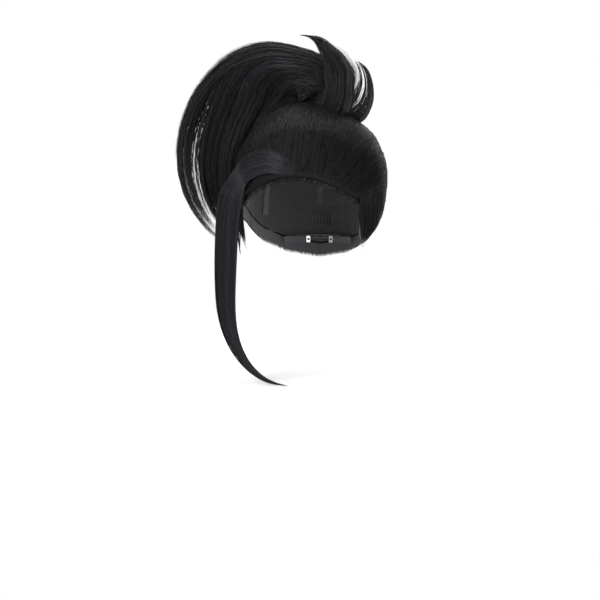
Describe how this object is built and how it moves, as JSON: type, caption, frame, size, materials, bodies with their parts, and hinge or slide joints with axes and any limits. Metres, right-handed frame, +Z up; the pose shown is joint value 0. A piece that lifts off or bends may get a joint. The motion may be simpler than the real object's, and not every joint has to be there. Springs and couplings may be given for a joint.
{
  "type": "costume wig",
  "caption": "Black synthetic costume wig: combed-back base wig on a net cap, a long side lock, and a spiky clip-on ponytail swept to one side.",
  "frame": {"origin": "inside of the crown patch, where the wig rests on top of the wearer's head", "axes": "+Z up out of the crown, -Y towards the face, +X towards the wearer's left"},
  "size_m": [0.2642, 0.2028, 0.407],
  "materials": {
    "hair_fibre": "glossy synthetic hair fibre",
    "cap_net": "open black stretch net",
    "elastic_fabric": "woven elastic",
    "front_film": "skin-tone lining",
    "weft_tape": "stitched weft",
    "steel": "bright wire",
    "black_steel": "black enamel on spring steel",
    "clip_plastic": "black moulded plastic"
  },
  "bodies": {
    "cap": {"crown_patch": "front_film", "crown_net": "cap_net", "front_band": "front_film", "nape_band": "elastic_fabric", "ear_arch_left": "elastic_fabric", "ear_arch_right": "elastic_fabric", "spine_tape": "elastic_fabric", "side_tape_left": "elastic_fabric", "side_tape_right": "elastic_fabric", "weft_row_1": "weft_tape", "weft_row_2": "weft_tape", "weft_row_3": "weft_tape", "weft_row_4": "weft_tape", "weft_row_5": "weft_tape", "front_hair": "hair_fibre", "side_hair_left": "hair_fibre", "side_hair_right": "hair_fibre", "back_hair": "hair_fibre", "side_lock_weft": "weft_tape", "left_temple_clip_frame": "black_steel", "right_temple_clip_frame": "black_steel", "nape_clip_frame": "black_steel", "adjuster_loop_tape": "elastic_fabric"},
    "ear_tab_left": {"ear_tab_left": "elastic_fabric", "ear_stay_left": "steel", "sideburn_hair_left": "hair_fibre"},
    "ear_tab_right": {"ear_tab_right": "elastic_fabric", "ear_stay_right": "steel", "sideburn_hair_right": "hair_fibre"},
    "left_temple_comb": {"left_temple_clip_comb": "black_steel"},
    "right_temple_comb": {"right_temple_clip_comb": "black_steel"},
    "nape_comb": {"nape_clip_comb": "black_steel"},
    "adjuster_left": {"adjuster_strap_left": "elastic_fabric", "adjuster_hook_left": "steel"},
    "adjuster_right": {"adjuster_strap_right": "elastic_fabric", "adjuster_hook_right": "steel"},
    "side_lock": {"side_lock": "hair_fibre", "temple_wisp": "hair_fibre"},
    "post": {"ponytail_post": "hair_fibre", "post_elastic": "elastic_fabric"},
    "ponytail": {"ponytail_net": "cap_net", "claw_front_jaw": "clip_plastic", "claw_pin": "steel", "claw_spring": "steel", "outer_fall_front": "hair_fibre", "outer_fall_middle": "hair_fibre", "outer_fall_back": "hair_fibre", "middle_fall_front": "hair_fibre", "middle_fall_middle": "hair_fibre", "middle_fall_back": "hair_fibre", "inner_fall_front": "hair_fibre", "inner_fall_middle": "hair_fibre", "inner_fall_back": "hair_fibre", "top_spike": "hair_fibre", "right_spike": "hair_fibre", "small_spike": "hair_fibre"},
    "claw_jaw": {"claw_rear_jaw": "clip_plastic"}
  },
  "joints": [
    {"name": "side_lock_swing", "type": "hinge", "parent": "cap", "child": "side_lock", "pos_m": [-0.024, -0.088, -0.031], "axis": [0, 1, 0], "range_deg": [-4, 25]},
    {"name": "ponytail_turn", "type": "hinge", "parent": "cap", "child": "post", "pos_m": [0.008, 0.022, 0], "axis": [0, 0, 1], "range_deg": [-8, 8]},
    {"name": "ponytail_lift_off", "type": "slide", "parent": "post", "child": "ponytail", "axis": [0, 0, 1], "range_m": [0, 0.07]},
    {"name": "claw_open", "type": "hinge", "parent": "ponytail", "child": "claw_jaw", "pos_m": [0.008, 0.022, 0.052], "axis": [1, 0, 0], "range_deg": [0, 28]},
    {"name": "ear_tab_left_flex", "type": "hinge", "parent": "cap", "child": "ear_tab_left", "pos_m": [0.07348, -0.02974, -0.09591], "axis": [-0.2434, -0.9022, 0.356], "range_deg": [-8, 20]},
    {"name": "ear_tab_right_flex", "type": "hinge", "parent": "cap", "child": "ear_tab_right", "pos_m": [-0.07348, -0.02974, -0.09591], "axis": [-0.2434, 0.9022, -0.356], "range_deg": [-8, 20]},
    {"name": "left_temple_clip_snap", "type": "hinge", "parent": "cap", "child": "left_temple_comb", "pos_m": [0.04368, -0.07062, -0.06416], "axis": [-0.7118, -0.7024, 0], "range_deg": [0, 35]},
    {"name": "right_temple_clip_snap", "type": "hinge", "parent": "cap", "child": "right_temple_comb", "pos_m": [-0.04368, -0.07062, -0.06416], "axis": [-0.7118, 0.7024, 0], "range_deg": [0, 35]},
    {"name": "nape_clip_snap", "type": "hinge", "parent": "cap", "child": "nape_comb", "pos_m": [0, 0.09424, -0.11908], "axis": [1, 0, 0], "range_deg": [0, 35]},
    {"name": "adjuster_left_tighten", "type": "hinge", "parent": "cap", "child": "adjuster_left", "pos_m": [0, 0.034, -0.135], "axis": [0, 0, 1], "range_deg": [0, 10]},
    {"name": "adjuster_right_tighten", "type": "hinge", "parent": "cap", "child": "adjuster_right", "pos_m": [0, 0.034, -0.135], "axis": [0, 0, -1], "range_deg": [0, 10]}
  ]
}
